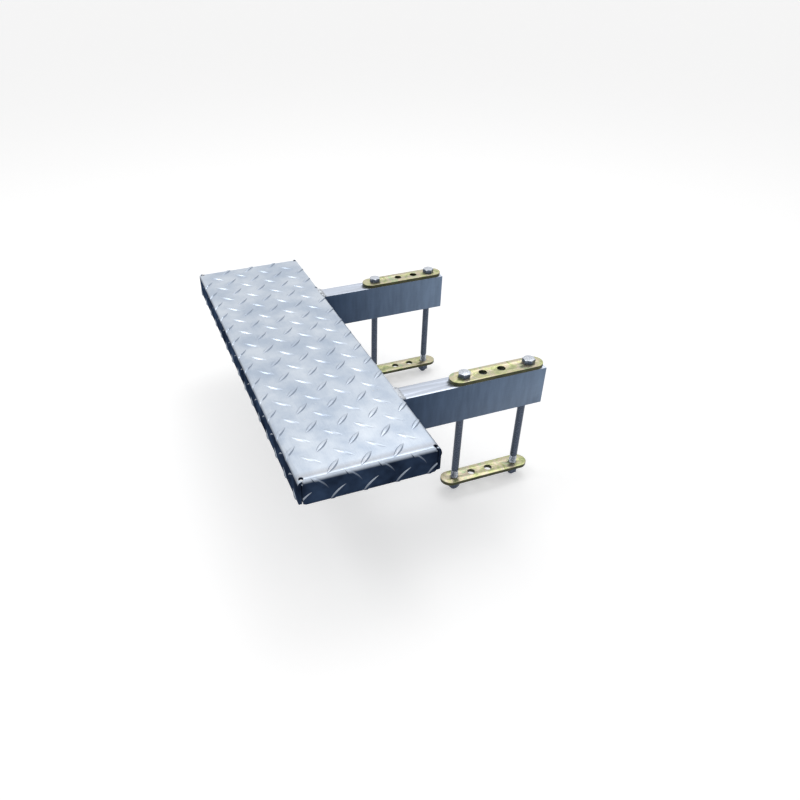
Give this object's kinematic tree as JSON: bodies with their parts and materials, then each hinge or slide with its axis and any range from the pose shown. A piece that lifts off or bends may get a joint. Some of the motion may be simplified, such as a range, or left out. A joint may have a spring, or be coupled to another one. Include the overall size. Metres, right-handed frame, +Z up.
{
  "type": "boat trailer step",
  "caption": "Bolt-on trailer step: folded tread-plate pan welded on two box-section arms, clamped down on a trailer tube by long bolts and flat clamp plates.",
  "frame": {"origin": "middle of the seat on the trailer tube: halfway between the two arms and the two bolts of each clamp, level with the undersides of the arms", "axes": "+X along the step, +Y from the step pan to the free ends of the arms, +Z up"},
  "size_m": [0.5334, 0.3522, 0.1838],
  "materials": {
    "tread_plate": "bright mill finish with raised lugs",
    "arm_tube": "mill finish, drawn lengthwise",
    "weld_metal": "rippled weld bead",
    "yellow_zinc": "yellow iridescent zinc plate",
    "bright_zinc": "bright zinc plate"
  },
  "bodies": {
    "step": {"tread_pan": "tread_plate", "left_arm": "arm_tube", "right_arm": "arm_tube", "left_arm_welds": "weld_metal", "right_arm_welds": "weld_metal", "left_upper_clamp": "yellow_zinc", "right_upper_clamp": "yellow_zinc", "left_front_bolt": "bright_zinc", "left_rear_bolt": "bright_zinc", "right_front_bolt": "bright_zinc", "right_rear_bolt": "bright_zinc"},
    "left_clamp_set": {"left_lower_clamp": "yellow_zinc", "left_front_lock_washer": "bright_zinc", "left_rear_lock_washer": "bright_zinc", "left_front_nut": "bright_zinc", "left_rear_nut": "bright_zinc"},
    "right_clamp_set": {"right_lower_clamp": "yellow_zinc", "right_front_lock_washer": "bright_zinc", "right_rear_lock_washer": "bright_zinc", "right_front_nut": "bright_zinc", "right_rear_nut": "bright_zinc"}
  },
  "joints": [
    {"name": "left_clamp_slide", "type": "slide", "parent": "step", "child": "left_clamp_set", "axis": [0, 0, 1], "range_m": [-0.004, 0.016]},
    {"name": "right_clamp_slide", "type": "slide", "parent": "step", "child": "right_clamp_set", "axis": [0, 0, 1], "range_m": [-0.004, 0.016]}
  ]
}
